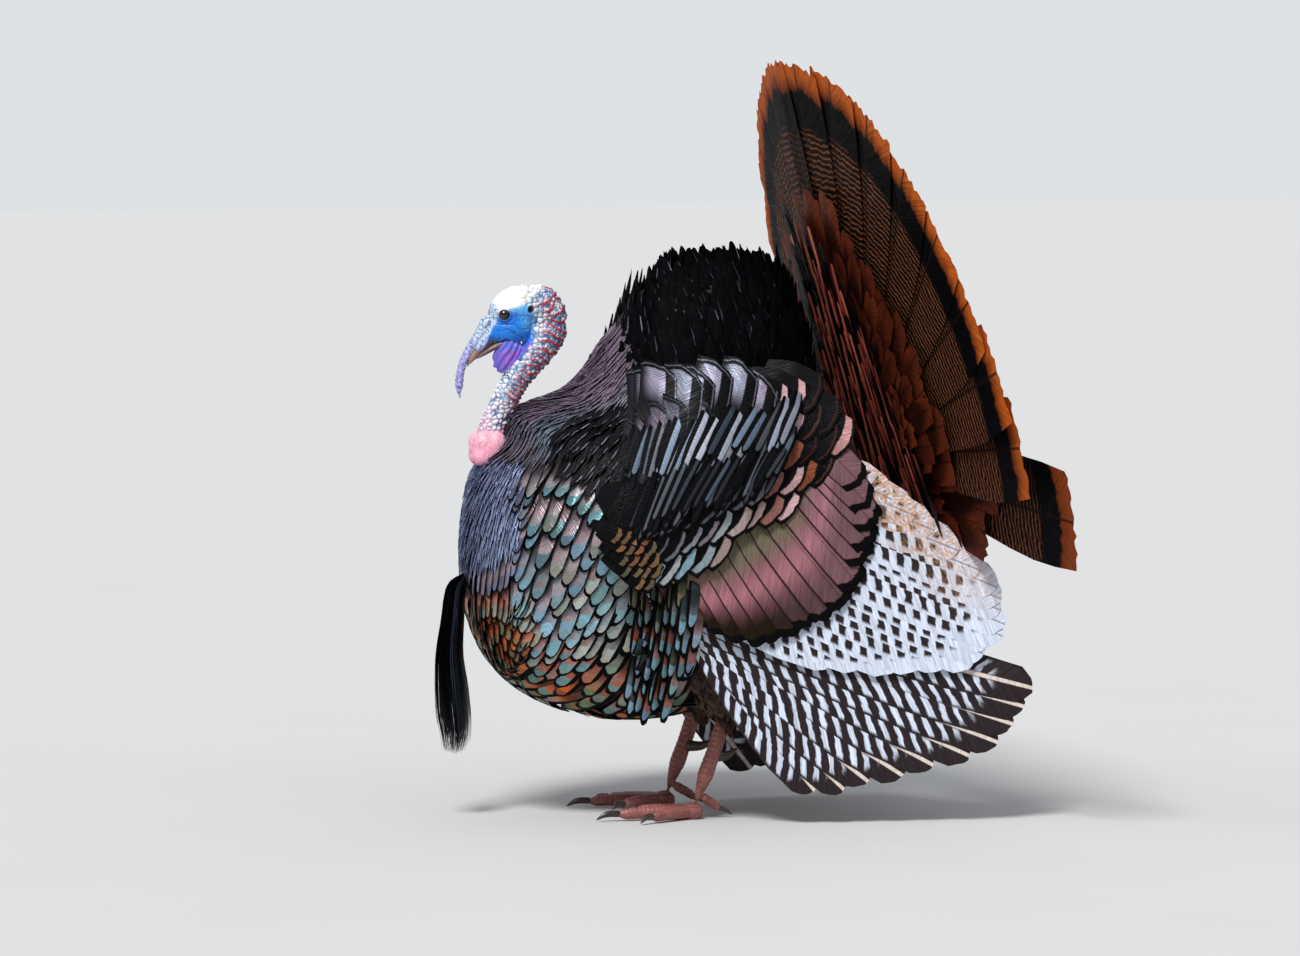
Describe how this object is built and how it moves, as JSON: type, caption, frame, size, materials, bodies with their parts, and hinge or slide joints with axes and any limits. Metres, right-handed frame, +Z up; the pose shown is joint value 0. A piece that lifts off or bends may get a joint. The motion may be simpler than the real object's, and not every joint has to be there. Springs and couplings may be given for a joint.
{
  "type": "wild turkey",
  "caption": "Life-size standing tom wild turkey in full strut: neck drawn back, back feathers raised, wings lowered, tail fanned, breast beard hanging; feet flat on the floor.",
  "frame": {"origin": "on the floor under the middle of the bird's box, between its feet", "axes": "+Z up, the longest way; the bird faces -X and its left side is -Y, and Y runs across the fanned tail"},
  "size_m": [0.5774, 0.753, 0.7583],
  "materials": {
    "body_feathers": "glossy body feathers in bronze, copper and teal with black edges; near-black raised back feathers",
    "wing_feathers": "black and white barred flight feathers, copper-pink coverts with dark edges",
    "tail_feathers": "brown tail feathers with fine black bars, a broad black band and chestnut tips",
    "beard_bristles": "coarse black bristles",
    "neck_skin": "beaded bare skin, white and pink with red folds and blue between them",
    "face_skin": "bare skin, bright blue face and white crown",
    "snood_skin": "soft wrinkled skin, lilac and purple",
    "caruncle_skin": "bulbous salmon-pink bare skin",
    "horn": "smooth horn, brown to bone",
    "eye": "wet dark brown eye",
    "leg_scales": "scaled skin, dull pinkish red"
  },
  "bodies": {
    "root": {"torso": "body_feathers", "thigh_left": "body_feathers", "thigh_right": "body_feathers", "wing_left": "wing_feathers", "wing_right": "wing_feathers", "tail": "tail_feathers", "beard": "beard_bristles", "neck": "neck_skin", "head": "face_skin", "snood": "snood_skin", "dewlap": "snood_skin", "caruncles": "caruncle_skin", "bill_upper": "horn", "bill_lower": "horn", "spur_left": "horn", "spur_right": "horn", "eye_left": "eye", "eye_right": "eye", "leg_left": "leg_scales", "leg_right": "leg_scales"}
  },
  "joints": []
}
